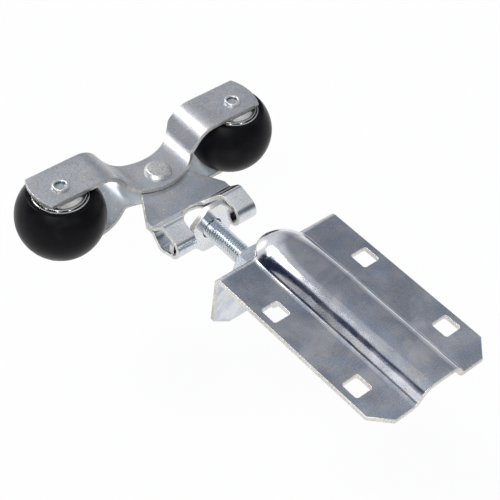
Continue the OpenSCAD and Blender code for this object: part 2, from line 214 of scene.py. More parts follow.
def rounded_path(points, r, steps=ARC_STEPS):
    """A line through the points with its inner corners rounded."""
    out = [Vector(points[0])]
    for a, b, c in zip(points, points[1:], points[2:]):
        a, b, c = Vector(a), Vector(b), Vector(c)
        u, w = (a - b).normalized(), (c - b).normalized()
        half = math.acos(u.dot(w)) / 2
        sweep = math.pi - 2 * half
        centre = b + (u + w).normalized() * (r / math.sin(half))
        first = b + u * (r / math.tan(half)) - centre
        last = b + w * (r / math.tan(half)) - centre
        for k in range(steps + 1):
            s = sweep * k / steps
            out.append(centre + (first * math.sin(sweep - s) + last * math.sin(s)) / math.sin(sweep))
    out.append(Vector(points[-1]))
    return out


def subdivided(path, step):
    """The path with points added until none are more than a step apart."""
    out = [path[0]]
    for a, b in zip(path, path[1:]):
        parts = max(1, math.ceil((b - a).length / step))
        out += [a.lerp(b, k / parts) for k in range(1, parts + 1)]
    return out


def with_normals(path):
    """Pairs of a path's point and its left-hand normal."""
    out = []
    for i, p in enumerate(path):
        along = (path[min(i + 1, len(path) - 1)] - path[max(i - 1, 0)]).normalized()
        out.append((p, Vector((-along.y, along.x))))
    return out


def evenly(start, end, parts):
    """Values from start to end that divide the way into equal parts."""
    return [start + (end - start) * k / parts for k in range(parts + 1)]


def spread(start, end, step):
    """Values from start to end, evenly and about a step apart."""
    return evenly(start, end, max(1, round(abs(end - start) / step)))


def mirrored(values):
    """Rising values from 0, and their negatives before them."""
    return [-v for v in reversed(values) if v > 0] + values


# Meshes
def add_object(name, mesh, body, materials, node=None):
    """Adds a piece that rides a body, in place of the solid of a node."""
    for material in materials:
        mesh.materials.append(material)
    obj = bpy.data.objects.new(name, mesh)
    bpy.context.scene.collection.objects.link(obj)
    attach(obj, body)
    if node:
        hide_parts(node)
    return obj


def finish_mesh(name, bm, smooth_below=SMOOTH_BELOW):
    """A mesh that is smooth but for edges at which its faces turn by a larger angle."""
    mesh = bpy.data.meshes.new(name)
    bmesh.ops.recalc_face_normals(bm, faces=bm.faces)
    bm.to_mesh(mesh)
    bm.free()
    mesh.shade_smooth()
    mesh.set_sharp_from_angle(angle=math.radians(smooth_below))
    return mesh


def add_solid(node, bm, body, materials):
    return add_object(node + ".look", finish_mesh(node, bm), body, materials, node)


def repaint(node, material):
    """Gives a CAD object, which stays as it is, another material."""
    materials = nodes[node].data.materials
    materials.clear()
    materials.append(material)


class Sheet:
    """A piece of sheet metal, made from the points of its outer skin and their normals."""

    def __init__(self):
        self.bm = bmesh.new()
        self.normal = {}

    def point(self, place, normal):
        v = self.bm.verts.new(place)
        self.normal[v] = Vector(normal).normalized()
        return v

    def grid(self, rows):
        for a, b in zip(rows, rows[1:]):
            for i in range(len(a) - 1):
                self.bm.faces.new((a[i], a[i + 1], b[i + 1], b[i]))

    def fill(self, loops):
        """Fills the flat area inside the first loop of points, with the other loops as its holes."""
        edges = []
        for loop in loops:
            for a, b in zip(loop, loop[1:] + loop[:1]):
                edges.append(self.bm.edges.get((a, b)) or self.bm.edges.new((a, b)))
        bmesh.ops.triangle_fill(self.bm, use_beauty=True, edges=edges, normal=self.normal[loops[0][0]])

    def rim(self):
        """The skin's free edges, in their faces' direction, and the way outward at each of their points."""
        edges, outward = [], {}
        for e in self.bm.edges:
            if len(e.link_faces) != 1:
                continue
            corner = e.link_loops[0]
            a, b = corner.vert, corner.link_loop_next.vert
            edges.append((a, b))
            along = (b.co - a.co).normalized()
            for v in (a, b):
                outward.setdefault(v, []).append(along.cross(self.normal[v]).normalized())
        return edges, {v: (o[0] + o[-1]) / (1 + o[0].dot(o[-1])) for v, o in outward.items()}

    def thicken(self, thickness, edge_r, steps=3):
        """Adds the inner skin and a rim with rounded edges, which takes the second material."""
        skin = list(self.bm.faces)
        self.bm.normal_update()
        for f in skin:
            if f.normal.dot(self.normal[f.verts[0]]) < 0:
                f.normal_flip()
        edges, outward = self.rim()
        for v, out in outward.items():
            v.co -= out * edge_r
        inner = {v: self.point(v.co - n * thickness, -n) for v, n in list(self.normal.items())}
        for f in skin:
            self.bm.faces.new([inner[v] for v in reversed(f.verts)])
        chains = {}
        for v, out in outward.items():
            n = self.normal[v]
            chain = [v]
            for k in range(1, steps + 1):
                a = math.pi / 2 * k / steps
                shift = out * (edge_r * math.sin(a)) - n * (edge_r * (1 - math.cos(a)))
                chain.append(self.point(v.co + shift, out.normalized() * math.sin(a) + n * math.cos(a)))
            for k in range(steps):
                a = math.pi / 2 * k / steps
                shift = out * (edge_r * math.cos(a)) - n * (thickness - edge_r + edge_r * math.sin(a))
                chain.append(self.point(v.co + shift, out.normalized() * math.cos(a) - n * math.sin(a)))
            chain.append(inner[v])
            chains[v] = chain
        for a, b in edges:
            for k in range(len(chains[a]) - 1):
                face = self.bm.faces.new((chains[b][k], chains[a][k], chains[a][k + 1], chains[b][k + 1]))
                face.material_index = 1

    def finish(self, node, body, slot, materials):
        """Adds the sheet as a piece in place of the solid of a node."""
        self.bm.verts.index_update()
        normals = [None] * len(self.bm.verts)
        for v, n in self.normal.items():
            normals[v.index] = n
            v.co *= MM
        mesh = bpy.data.meshes.new(node + ".look")
        self.bm.to_mesh(mesh)
        self.bm.free()
        mesh.shade_smooth()
        mesh.normals_split_custom_set_from_vertices(normals)
        return add_object(node + ".look", mesh, body, materials, node)


def place(bm, centre, axis="z", flip=1):
    """Takes a mesh that was made about Z, in millimetres, to its centre in the frame and along its axis."""
    turn = Matrix.Diagonal((1, 1, flip, 1)) if axis == "z" else Matrix.Rotation(math.radians(-90), 4, "X")
    shift = Matrix.Translation(Vector(centre) * MM)
    bmesh.ops.transform(bm, matrix=shift @ turn @ Matrix.Scale(MM, 4), verts=bm.verts)


def rings_mesh(rings, closed):
    """Skin over rings of points; closed joins the last ring to the first, otherwise the ends get caps."""
    bm = bmesh.new()
    rows = [[bm.verts.new(p) for p in ring] for ring in rings]
    pairs = list(zip(rows, rows[1:] + rows[:1])) if closed else list(zip(rows, rows[1:]))
    for a, b in pairs:
        for i in range(len(a)):
            k = (i + 1) % len(a)
            bm.faces.new((a[i], a[k], b[k], b[i]))
    if not closed:
        bm.faces.new(rows[0])
        bm.faces.new(list(reversed(rows[-1])))
    return bm


def turned(profile, closed, steps=TURNED_STEPS):
    """Revolves rows of (radius, height) about Z; closed makes a ring, otherwise the ends get caps."""
    angles = [2 * math.pi * i / steps for i in range(steps)]
    rings = [[(r * math.cos(a), r * math.sin(a), z) for a in angles] for r, z in profile]
    return rings_mesh(rings, closed)


def both_ends(half):
    """A profile that is given for its upper half, and the same mirrored below it."""
    return [(r, -z) for r, z in reversed(half) if z > 0] + half


# Door plate: where the rib's top, its walls and its nose end in the grid of the skin, and the grid's steps
RIB_FLAT_X = 8.0
RIB_WALL_X = 16.4
RIB_ROOM_X = 18.0
NOSE_ROOM_Y = 38.0
NOSE_ROOM_Z = -12.5
FLAT_STEP = 0.8
WALL_STEP = 0.28
FLANGE_STEP = 2.2
NOSE_STEP = 0.6
RIB_STEP = 5.0
BEND_STEPS = 26
RAY_LENGTH = 20.0
RAY_HALVINGS = 40
PROBE = 0.02


def soft_max(a, b, width):
    """The larger of two values, rounded off where they differ by less than the width."""
    h = max(width - abs(a - b), 0.0) / width
    return max(a, b) + h * h * width / 4


def plate_depth(p):
    """Below 0 inside the pressed form: a bent sheet's outer side, and the rib with its round nose on it."""
    dy, dz = p.y - (HOOK_Y - HOOK_BEND_R), p.z - (PLATE_T - HOOK_BEND_R)
    bend = math.hypot(max(dy, 0.0), max(dz, 0.0)) + min(max(dy, dz), 0.0) - HOOK_BEND_R
    across = math.hypot(p.x, max(p.y - NOSE_Y, 0.0))
    wall = (across - RIB_FOOT_X + (p.z - PLATE_T) * RIB_LEAN) / math.hypot(1, RIB_LEAN)
    belly = (across - RIB_FOOT_X - (p.z - PLATE_T) * BELLY_LEAN) / math.hypot(1, BELLY_LEAN)
    ease = min(max(p.y / NOSE_Y, 0.0), 1.0) ** NOSE_EASE
    crest_soft = CREST_SOFT + (NOSE_SOFT - CREST_SOFT) * ease
    crest = soft_max(p.z - RIB_TOP + CROWN * across ** 2, wall, crest_soft)
    rib = soft_max(crest, belly, BELLY_SOFT)
    return -soft_max(-bend, -rib, FOOT_SOFT)


def on_plate(x, y, z, direction):
    """The outer skin's point and normal on a ray from inside."""
    start, near, far = Vector((x, y, z)), 0.0, RAY_LENGTH
    for _ in range(RAY_HALVINGS):
        middle = (near + far) / 2
        if plate_depth(start + direction * middle) < 0:
            near = middle
        else:
            far = middle
    p = start + direction * near
    axes = [Vector((PROBE, 0, 0)), Vector((0, PROBE, 0)), Vector((0, 0, PROBE))]
    return p, Vector([plate_depth(p + a) - plate_depth(p - a) for a in axes])


def square_hole(cx, cy):
    h = HOLE_SIZE / 2 - HOLE_CORNER_R
    out = []
    for sx, sy, start in ((1, 1, 0), (-1, 1, 90), (-1, -1, 180), (1, -1, 270)):
        out += arc(cx + sx * h, cy + sy * h, HOLE_CORNER_R, start, start + 90, CORNER_STEPS)
    return out


def door_plate():
    sheet = Sheet()
    up, back = Vector((0, 0, 1)), Vector((0, 1, 0))
    wall_xs = spread(RIB_FLAT_X, RIB_WALL_X, WALL_STEP)[1:]
    half = spread(0, RIB_FLAT_X, FLAT_STEP) + wall_xs + [RIB_ROOM_X]
    side = spread(RIB_ROOM_X, PLATE_W / 2, FLANGE_STEP)[1:]
    rib_xs, all_xs = mirrored(half), mirrored(half + side)
    inside_z = PLATE_T - HOOK_BEND_R
    bend_y = HOOK_Y - HOOK_BEND_R

    # The nose, the bend and the top of the hook
    rays = [(y, inside_z, up) for y in spread(NOSE_ROOM_Y, bend_y, NOSE_STEP)]
    for y, z in arc(0, 0, 1, 90, 0, BEND_STEPS)[1:-1]:
        rays.append((bend_y, inside_z, Vector((0, y, z))))
    rays += [(bend_y, z, back) for z in spread(inside_z, NOSE_ROOM_Z, NOSE_STEP)]
    rows = [[sheet.point(*on_plate(x, y, z, d)) for x in all_xs] for y, z, d in rays]
    sheet.grid(rows)

    # The straight rib
    rib_rows = [[sheet.point(*on_plate(x, y, inside_z, up)) for x in rib_xs]
                for y in spread(DOOR_Y, NOSE_ROOM_Y, RIB_STEP)[:-1]]
    rib_rows.append(rows[0][len(side):-len(side)])
    sheet.grid(rib_rows)

    # The flat flanges with their square holes, and the flat of the hook with the bolt's hole
    for s in (-1, 1):
        inner = [row[-1] if s > 0 else row[0] for row in rib_rows]
        front = rows[0][-len(side):] if s > 0 else list(reversed(rows[0][:len(side)]))
        corner = [(s * PLATE_W / 2, DOOR_Y + END_CHAMFER), (s * (PLATE_W / 2 - END_CHAMFER), DOOR_Y)]
        loops = [corner] + [square_hole(s * HOLE_X, t * HOLE_Y) for t in (-1, 1)]
        loops = [[sheet.point((x, y, PLATE_T), up) for x, y in loop] for loop in loops]
        sheet.fill([inner + front + loops[0]] + loops[1:])
    right = [(PLATE_W / 2, HOOK_LOW + HOOK_CHAMFER_H), (PLATE_W / 2 - HOOK_CHAMFER_W, HOOK_LOW)]
    loops = [right + [(-x, z) for x, z in reversed(right)], circle(0, BOLT_Z, BOLT_HOLE_R)]
    loops = [[sheet.point((x, HOOK_Y, z), back) for x, z in loop] for loop in loops]
    sheet.fill([rows[-1] + loops[0], loops[1]])
    sheet.thicken(PLATE_T, EDGE_R)
    return sheet


# Straps
STRAP_STEP = 1.2
STRAP_BEND_STEPS = 12
STRAP_COLUMNS = 14


def strap(side):
    """The upper strap for side 1, the lower one for -1."""
    sheet = Sheet()
    arm_x = TROUGH_W / 2 + (ARM_Z - TROUGH_Z) / math.tan(math.radians(STRAP_SLOPE))
    end_x = STRAP_REACH - STRAP_END_R
    half = [(STRAP_REACH, ARM_Z), (arm_x, ARM_Z), (TROUGH_W / 2, TROUGH_Z)]
    corners = [(-x, z) for x, z in half] + list(reversed(half))
    path = subdivided(rounded_path(corners, STRAP_BEND_R, STRAP_BEND_STEPS), STRAP_STEP)
    low, high = ARM_OFFSET - STRAP_W / 2, ARM_OFFSET + STRAP_W / 2
    rows = []
    for p, n in with_normals(path):
        p = p + n * (STRAP_T / 2)
        y0, y1 = low, high
        if abs(p.x) < LOBE_R:
            y0 = min(low, LOBE_R - LOBE_REACH - math.sqrt(LOBE_R ** 2 - p.x ** 2))
        if abs(p.x) < HOLLOW_R:
            y1 = min(high, STRAP_W / 2 + HOLLOW_R - math.sqrt(HOLLOW_R ** 2 - p.x ** 2))
        row = []
        for y in evenly(y0, y1, STRAP_COLUMNS):
            x = p.x
            if abs(x) > end_x:
                reach = math.sqrt(STRAP_END_R ** 2 - (y - ARM_OFFSET) ** 2)
                x = math.copysign(end_x + (abs(x) - end_x) * reach / STRAP_END_R, x)
            row.append(sheet.point((x, PIVOT_Y + y, BOLT_Z + side * p.y), (n.x, 0, side * n.y)))
        rows.append(row)
    sheet.grid(rows)
    sheet.thicken(STRAP_T, EDGE_R)
    return sheet


# Hanger and cross plate
LEAF_STEP = 0.9
LEAF_COLUMNS = 9
LOOP_STEPS = 10
CUTOUT_STEPS = 15
SPLIT_GAP = 0.1
CUTOUT_TOP_GAP = 0.001


def hanger_half_width(y):
    """Half the hanger's width at a distance from the pivot, below 0 towards the door; never 0 at its tip."""
    corner = Vector((HANGER_W / 2, -SHOULDER_BACK))
    touch = math.atan2(corner.y, corner.x) + math.acos(HANGER_END_R / corner.length)
    end = HANGER_END_R * Vector((math.cos(touch), math.sin(touch)))
    if y < corner.y:
        return corner.x
    if y < end.y:
        return corner.x + (end.x - corner.x) * (y - corner.y) / (end.y - corner.y)
    return math.sqrt(max(HANGER_END_R ** 2 - y * y, HANGER_TIP_SQUARED))


def split_at(path, firsts):
    """Adds points where the path passes the given values of its first coordinate, but none close to its own."""
    out = [path[0]]
    for a, b in zip(path, path[1:]):
        low, high = min(a.x, b.x) + SPLIT_GAP, max(a.x, b.x) - SPLIT_GAP
        inside = [(f - a.x) / (b.x - a.x) for f in firsts if low < f < high]
        out += [a.lerp(b, t) for t in sorted(inside)] + [b]
    return out


def hanger():
    """Both leaves and the loops as one strip; the cut-out parts it into two halves on the loops' side."""
    sheet = Sheet()
    loops = LOOPS_Y - PIVOT_Y
    arch = loops + CUTOUT_BACK
    slope = math.radians(LEAF_SLOPE)
    leaf_mid = LEAF_GAP / 2 + LEAF_T / 2
    crease = (loops + CREASE_BACK, leaf_mid)
    touch = (loops - LOOP_R * math.sin(slope), LOOP_R * math.cos(slope))
    crest = (loops + CREST_BACK, touch[1] + (loops + CREST_BACK - touch[0]) * math.tan(slope))
    leaf = rounded_path([(HANGER_END_R, leaf_mid), crease, crest, touch], LEAF_BEND_R)
    front = [Vector(p) for p in arc(loops, 0, LOOP_R, 90 + LEAF_SLOPE, 180, LOOP_STEPS)]
    arch_ys = [y for y, x in arc(arch, 0, CUTOUT_R, 0, 90, CUTOUT_STEPS)]
    upper = split_at(subdivided(leaf[:-1] + front, LEAF_STEP), arch_ys)
    path = upper + [Vector((p.x, -p.y)) for p in reversed(upper[:-1])]
    halves = {-1: [], 1: []}
    for p, n in with_normals(path):
        y, z = p - n * (LEAF_T / 2)
        inner = 0.0
        if y < arch:
            inner = CUTOUT_R
        elif y < arch + CUTOUT_R - CUTOUT_TOP_GAP:
            inner = math.sqrt(CUTOUT_R ** 2 - (y - arch) ** 2)
        xs = evenly(inner, hanger_half_width(y), LEAF_COLUMNS)
        for s in (1, -1):
            shared = [halves[1][-1][0]] if inner == 0 and s < 0 else []
            row = [sheet.point((s * x, PIVOT_Y + y, BOLT_Z + z), (0, -n.x, -n.y)) for x in xs[len(shared):]]
            halves[s].append(shared + row)
    for rows in halves.values():
        sheet.grid(rows)
    sheet.thicken(LEAF_T, LEAF_EDGE_R)
    return sheet


def cross_plate():
    sheet = Sheet()
    quarter = [(TONGUE_HALF_W, TONGUE_H / 2), (CROSS_HALF_W, TONGUE_H / 2)]
    quarter += [(CROSS_HALF_W, CROSS_SIDE_H / 2), (CROSS_TOP_W / 2, CROSS_H / 2)]
    top = quarter + [(-x, z) for x, z in reversed(quarter)]
    loops = [top + [(-x, -z) for x, z in top], circle(0, 0, BOLT_HOLE_R)]
    front = Vector((0, -1, 0))
    front_y = LOOPS_Y - CROSS_T / 2
    loops = [[sheet.point((x, front_y, BOLT_Z + z), front) for x, z in loop] for loop in loops]
    sheet.fill(loops)
    sheet.thicken(CROSS_T, EDGE_R)
    return sheet


# Bolt and nuts
def hex_radius(angle):
    """The hexagon's radius at an angle in radians."""
    sixth = math.pi / 3
    return HEX_AF / 2 / math.cos((angle % sixth) - sixth / 2)


def nut(turn):
    """A nut along Z with its corners turned off at both ends."""
    face_r = HEX_AF / 2 * NUT_FACE
    slope = math.tan(math.radians(NUT_CHAMFER))
    bore_r = BOLT_R - THREAD_DEPTH + NUT_BORE_GAP
    lip_r = bore_r + NUT_LIP
    angles = [2 * math.pi * i / NUT_STEPS for i in range(NUT_STEPS)]

    def ring(r, z):
        return [(r * math.cos(a + turn), r * math.sin(a + turn), z) for a in angles]

    def hex_ring(height):
        radii = [hex_radius(a) for a in angles]
        drops = [max(0.0, r - face_r) * slope for r in radii]
        return [(r * math.cos(a + turn), r * math.sin(a + turn), height(drop))
                for a, r, drop in zip(angles, radii, drops)]

    outside = [ring(face_r, 0.0), hex_ring(lambda drop: drop)]
    outside += [hex_ring(lambda drop: NUT_H - drop), ring(face_r, NUT_H)]
    bore = [ring(lip_r, NUT_H), ring(bore_r, NUT_H - NUT_LIP), ring(bore_r, NUT_LIP), ring(lip_r, 0.0)]
    return rings_mesh(outside + bore, True)


def threaded(length):
    """The bolt's thread along Z, from 0 down to the end, with a turned-off tip."""
    rows = int(length / PITCH * ROWS_PER_PITCH)
    rings = []
    for i in range(rows + 1):
        z = -length + length * i / rows
        ring = []
        for j in range(THREAD_STEPS):
            phase = (z / PITCH - j / THREAD_STEPS) % 1.0
            rise = min(1.0, max(0.0, (abs(phase - 0.5) * 2 - THREAD_ROOT) / THREAD_FLANK))
            r = BOLT_R - THREAD_DEPTH * (1 - rise)
            r = min(r, BOLT_R - BOLT_TIP + max(0.0, z + length))
            a = 2 * math.pi * j / THREAD_STEPS
            ring.append((r * math.cos(a), r * math.sin(a), z))
        rings.append(ring)
    return rings_mesh(rings, False)


# Turned pieces, as rows of (radius, height); those that reach their axis end in caps of AXIS_R
AXIS_R = 0.05
LIP_STEPS = 10
BALL_STEPS = 20
RIM_STEPS = 6


def bolt_head():
    edge = arc(HEAD_R - HEAD_EDGE_R, HEAD_H - HEAD_EDGE_R, HEAD_EDGE_R, 0, 90, CORNER_STEPS)
    return [(AXIS_R, 0), (HEAD_R, 0)] + edge + [(AXIS_R, HEAD_H)]


def pivot_rivet():
    top = TROUGH_TOP + PIVOT_HEAD_H
    wall = [(PIVOT_R, TROUGH_TOP), (PIVOT_HEAD_R, TROUGH_TOP), (PIVOT_HEAD_R, TROUGH_TOP + PIVOT_WALL_H)]
    edge_r = PIVOT_HEAD_R - PIVOT_EDGE_IN
    edge = arc(edge_r, top - PIVOT_EDGE_R, PIVOT_EDGE_R, PIVOT_EDGE_FROM, 90, CORNER_STEPS)
    return both_ends(wall + edge + [(AXIS_R, top)])


def axle():
    lip_r = (AXLE_RIM_R - AXLE_HOLLOW_R) / 2
    lip = arc(AXLE_RIM_R - lip_r, ARM_TOP + AXLE_RIM_H - lip_r, lip_r, 0, 180, LIP_STEPS)
    bottom = ARM_TOP - AXLE_HOLLOW
    hollow = [(AXLE_HOLLOW_R, bottom), (AXIS_R, bottom - AXLE_HOLLOW_R / 2)]
    return both_ends([(AXLE_R, ARM_TOP), (AXLE_RIM_R, ARM_TOP)] + lip + hollow)


def wheel():
    seat_r = CUP_R + FIT_GAP
    flat_r = math.sqrt(WHEEL_R ** 2 - WHEEL_HALF ** 2)
    ball = [(WHEEL_R, 0)] + arc(0, 0, WHEEL_R, 0, WHEEL_BALL_END, BALL_STEPS)[1:]
    edge = [(flat_r - WHEEL_EDGE_IN, WHEEL_HALF - WHEEL_EDGE_DROP), (flat_r - WHEEL_FACE_IN, WHEEL_HALF)]
    seat = [(seat_r + SEAT_CHAMFER, WHEEL_HALF), (seat_r, WHEEL_HALF - SEAT_CHAMFER)]
    return both_ends(ball + edge + seat + [(seat_r, CUP_LOW), (SPACER_ROOM_R, CUP_LOW)])


def cup():
    lip_r = CUP_T / 2
    lip = arc(CUP_R - lip_r, CUP_TOP - lip_r, lip_r, 0, 180)
    race = arc(RACE_R, RACE_Z, GROOVE_R, 0, -90)
    inner_r = RACE_R - GROOVE_R + CUP_T
    return [(inner_r, CUP_LOW), (CUP_R, CUP_LOW)] + lip + race + [(inner_r, RACE_Z - GROOVE_R)]


def cone():
    hub_r = RACE_R - GROOVE_R
    bore_r = AXLE_R + FIT_GAP
    rim_z = RACE_Z + GROOVE_R
    race = arc(RACE_R, RACE_Z, GROOVE_R, 180, 90)
    rim = arc(DISH_R - DISH_RIM_R, rim_z + DISH_RIM_R, DISH_RIM_R, -90, 90, RIM_STEPS)
    dish = [(r, rim_z + h) for r, h in DISH_GROOVE + DISH_RISE] + [(HUB_TOP_R, CONE_TOP)]
    return [(bore_r, CONE_LOW), (hub_r, CONE_LOW)] + race + rim + dish + [(bore_r, CONE_TOP)]


# Nodes of materials
MIX_A, MIX_B, MIX_RESULT = 6, 7, 2


def new_material(name):
    material = bpy.data.materials.new(name)
    material.use_nodes = True
    tree = material.node_tree
    return material, tree, tree.nodes["Principled BSDF"]


def link(tree, out, socket):
    tree.links.new(out, socket)


def noise(tree, scale, detail=2.0, stretch=None, turn=0.0, distortion=0.0):
    """Noise in the part's own frame; stretch squeezes it along the axes."""
    where = tree.nodes.new("ShaderNodeTexCoord").outputs["Object"]
    if stretch:
        mapping = tree.nodes.new("ShaderNodeMapping")
        mapping.inputs["Scale"].default_value = stretch
        mapping.inputs["Rotation"].default_value = (0, 0, math.radians(turn))
        link(tree, where, mapping.inputs["Vector"])
        where = mapping.outputs["Vector"]
    texture = tree.nodes.new("ShaderNodeTexNoise")
    texture.inputs["Scale"].default_value = scale
    texture.inputs["Detail"].default_value = detail
    texture.inputs["Distortion"].default_value = distortion
    link(tree, where, texture.inputs["Vector"])
    return texture.outputs["Fac"]


def ranged(tree, value, band, to_low=0.0, to_high=1.0):
    """Takes a value smoothly from one number to another where it crosses a band."""
    node = tree.nodes.new("ShaderNodeMapRange")
    node.interpolation_type = "SMOOTHSTEP"
    limits = {"From Min": band[0], "From Max": band[1], "To Min": to_low, "To Max": to_high}
    for name, number in limits.items():
        node.inputs[name].default_value = number
    link(tree, value, node.inputs["Value"])
    return node.outputs["Result"]


def math_node(tree, operation, a, b):
    node = tree.nodes.new("ShaderNodeMath")
    node.operation = operation
    for socket, value in zip(node.inputs, (a, b)):
        if isinstance(value, float):
            socket.default_value = value
        else:
            link(tree, value, socket)
    return node.outputs["Value"]


def mixed(tree, factor, a, b):
    """Goes from one colour to another; each is a tuple or the output of a node."""
    node = tree.nodes.new("ShaderNodeMix")
    node.data_type = "RGBA"
    link(tree, factor, node.inputs["Factor"])
    for socket, value in ((node.inputs[MIX_A], a), (node.inputs[MIX_B], b)):
        if isinstance(value, tuple):
            socket.default_value = (*value, 1)
        else:
            link(tree, value, socket)
    return node.outputs[MIX_RESULT]


def bumped(tree, height, distance, below=None):
    """A normal with relief, on top of the normal below it."""
    node = tree.nodes.new("ShaderNodeBump")
    node.inputs["Distance"].default_value = distance
    link(tree, height, node.inputs["Height"])
    if below:
        link(tree, below, node.inputs["Normal"])
    return node.outputs["Normal"]


def shaded(colour, factor):
    return tuple(min(1.0, c * factor) for c in colour)


# Zinc: the scale of each noise, the band of it in which a mark shows, and how strong the mark is
CLOUD_SCALE, CLOUD_BAND, CLOUD_TWIST = 110.0, (0.40, 0.64), 0.8
PATCH_SCALE, PATCH_BAND, PATCH_SHARE, PATCH_DARK = 55.0, (0.42, 0.64), 0.6, 0.72
SPECK_DARK_BAND, SPECK_PALE_BAND, SPECK_DARK, SPECK_ROUGH = (0.50, 0.66), (0.48, 0.34), 0.5, 0.2
SCRATCH_SCALE, SCRATCH_BAND, SCRATCH_SHARE = 90.0, (0.64, 0.70), 0.2
SCRATCH_STRETCH, SCRATCH_TURN, SCRATCH_TWIST = (1.0, 16.0, 16.0), 28.0, 0.4
DUST_SCALE, DUST_BAND, DUST_SHARE, DUST_ROUGH = 700.0, (0.72, 0.78), 0.8, 0.3
WORN_SCALE, WORN_BAND, WORN_TWIST = 38.0, (0.44, 0.60), 1.2
ROUGH_BAND, ROUGH_SPREAD = (0.3, 0.7), 0.03
WAVE_SCALE = 42.0
PALE = 1.3


def zinc(name, tint, warm, rough, metal=1.0, wave=0.0002, grain=0.000012, speckle=0.4, grit=1500.0, haze=0.0):
    """Zinc plate on steel: cloudy tint with darker patches, fine speckle and grain, scratches and dust, the
    slight waves of pressed sheet, and worn pale patches where haze is above 0."""
    material, tree, bsdf = new_material(name)
    clouds = noise(tree, CLOUD_SCALE, 4.0, distortion=CLOUD_TWIST)
    patches = noise(tree, PATCH_SCALE, 3.0)
    fine = noise(tree, grit, 3.0)
    lines = noise(tree, SCRATCH_SCALE, 3.0, SCRATCH_STRETCH, SCRATCH_TURN, SCRATCH_TWIST)
    scratches = ranged(tree, lines, SCRATCH_BAND, to_high=SCRATCH_SHARE)
    dust = ranged(tree, noise(tree, DUST_SCALE), DUST_BAND, to_high=DUST_SHARE)
    pale = shaded(warm, PALE)
    patch_factor = ranged(tree, patches, PATCH_BAND, to_high=PATCH_SHARE)
    colour = mixed(tree, ranged(tree, clouds, CLOUD_BAND), tint, warm)
    colour = mixed(tree, patch_factor, colour, shaded(tint, PATCH_DARK))
    colour = mixed(tree, ranged(tree, fine, SPECK_DARK_BAND, to_high=speckle), colour, shaded(tint, SPECK_DARK))
    colour = mixed(tree, ranged(tree, fine, SPECK_PALE_BAND, to_high=speckle), colour, pale)
    if haze > 0:
        worn = noise(tree, WORN_SCALE, 3.0, distortion=WORN_TWIST)
        colour = mixed(tree, ranged(tree, worn, WORN_BAND, to_high=haze), colour, pale)
    colour = mixed(tree, math_node(tree, "MAXIMUM", scratches, dust), colour, pale)
    link(tree, colour, bsdf.inputs["Base Color"])
    roughness = ranged(tree, clouds, ROUGH_BAND, rough - ROUGH_SPREAD, rough + ROUGH_SPREAD)
    for marks, added in ((fine, speckle * SPECK_ROUGH), (dust, DUST_ROUGH)):
        roughness = math_node(tree, "ADD", roughness, math_node(tree, "MULTIPLY", marks, added))
    link(tree, roughness, bsdf.inputs["Roughness"])
    bsdf.inputs["Metallic"].default_value = metal
    waves = bumped(tree, noise(tree, WAVE_SCALE, 1.0), wave)
    link(tree, bumped(tree, fine, grain, waves), bsdf.inputs["Normal"])
    return material


# Plastic: rubbed patches, dust in the grain, and the grain of the mould
RUBBED_SCALE, RUBBED_BAND, RUBBED_GAIN, RUBBED_LIFT = 70.0, (0.5, 0.75), 2.2, 0.004
GLOSS_BAND, GLOSS_BELOW, GLOSS_ABOVE = (0.3, 0.75), 0.06, 0.12
MOULD_SCALE, MOULD_DUST_BAND, MOULD_DUST, MOULD_RELIEF = 1900.0, (0.6, 0.74), 0.5, 0.00002
PLASTIC_SPECULAR = 0.08


def plastic(name, colour, rough):
    """Moulded black plastic with a faint grain and rubbed patches."""
    material, tree, bsdf = new_material(name)
    patches = noise(tree, RUBBED_SCALE, 4.0)
    fine = noise(tree, MOULD_SCALE)
    dust = ranged(tree, fine, MOULD_DUST_BAND, to_high=MOULD_DUST)
    rubbed = tuple(c * RUBBED_GAIN + RUBBED_LIFT for c in colour)
    base = mixed(tree, ranged(tree, patches, RUBBED_BAND), colour, rubbed)
    link(tree, mixed(tree, dust, base, rubbed), bsdf.inputs["Base Color"])
    roughness = ranged(tree, patches, GLOSS_BAND, rough - GLOSS_BELOW, rough + GLOSS_ABOVE)
    link(tree, roughness, bsdf.inputs["Roughness"])
    bsdf.inputs["Specular IOR Level"].default_value = PLASTIC_SPECULAR
    link(tree, bumped(tree, fine, MOULD_RELIEF), bsdf.inputs["Normal"])
    return material


# Materials
plate_zinc = zinc("plate_zinc", tint=(0.58, 0.63, 0.72), warm=(0.66, 0.65, 0.65), rough=0.12,
                  wave=0.0009, speckle=0.3, haze=0.5)
plate_edge = zinc("plate_edge", tint=(0.78, 0.77, 0.74), warm=(0.84, 0.81, 0.74), rough=0.42, wave=0.00004)
strap_zinc = zinc("strap_zinc", tint=(0.53, 0.555, 0.59), warm=(0.58, 0.57, 0.57), rough=0.30, metal=0.78,
                  grain=0.00004, speckle=0.6, grit=2100.0)
strap_edge = zinc("strap_edge", tint=(0.52, 0.52, 0.51), warm=(0.57, 0.55, 0.52), rough=0.36, metal=0.8,
                  speckle=0.6)
# Painted light: the lower strap is the same zinc as the upper one, and this paler, bluer and less metallic copy
# stands in for the strong light on its slopes
painted_light_lower_zinc = zinc("painted_light_lower_zinc", tint=(0.86, 0.94, 1.0), warm=(0.92, 0.97, 1.0), rough=0.24, metal=0.2,
                  speckle=0.15)
hanger_zinc = zinc("hanger_zinc", tint=(0.72, 0.77, 0.82), warm=(0.80, 0.79, 0.79), rough=0.15,
                   wave=0.0004, speckle=0.3)
fastener_zinc = zinc("fastener_zinc", tint=(0.66, 0.73, 0.80), warm=(0.72, 0.74, 0.75), rough=0.14,
                     wave=0.00003)
rivet_steel = zinc("rivet_steel", tint=(0.70, 0.71, 0.72), warm=(0.76, 0.75, 0.73), rough=0.34,
                   wave=0.0003, speckle=0.6)
# Painted shade: a dark teal copy of the rivet steel for the inside of the axle rivets' hollow ends, where shade
# falls
painted_shade_bore_steel = zinc("painted_shade_bore_steel", tint=(0.07, 0.13, 0.17), warm=(0.12, 0.17, 0.20), rough=0.22,
                  wave=0.00003, speckle=0.2)
